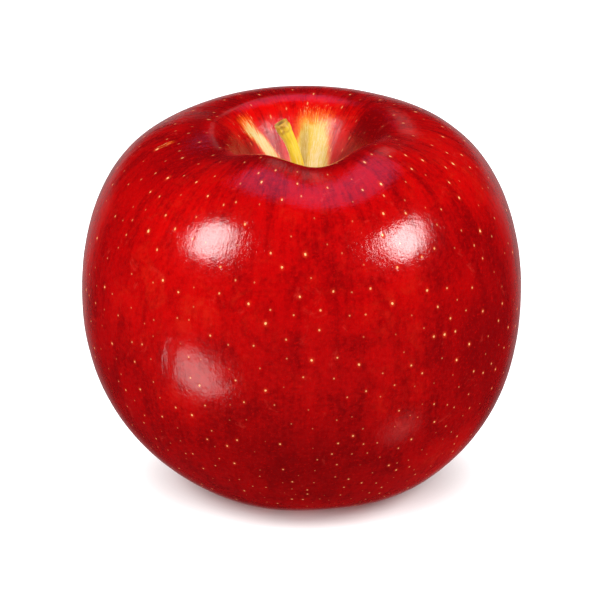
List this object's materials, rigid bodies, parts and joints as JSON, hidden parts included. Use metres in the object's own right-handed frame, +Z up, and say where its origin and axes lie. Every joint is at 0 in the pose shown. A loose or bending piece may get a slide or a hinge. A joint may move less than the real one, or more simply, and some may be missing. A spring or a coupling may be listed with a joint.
{
  "type": "apple",
  "caption": "Whole round red apple with softly ribbed shoulders, a deep stem cavity holding a short leaning stem, and dried sepals in the basin under its base.",
  "frame": {"origin": "on the resting surface, under the middle of the belly", "axes": "+Z up through the stem cavity; -Y is the front, the side with the deepest notch in the crest; the stem leans towards -X"},
  "size_m": [0.084, 0.084, 0.0736],
  "materials": {
    "skin": "gloss",
    "stem": "satin",
    "dried_calyx": "matte"
  },
  "bodies": {
    "root": {"fruit": "skin", "stem": "stem", "sepal_1": "dried_calyx", "sepal_2": "dried_calyx", "sepal_3": "dried_calyx", "sepal_4": "dried_calyx", "sepal_5": "dried_calyx", "stamen_tuft": "dried_calyx"}
  },
  "joints": []
}
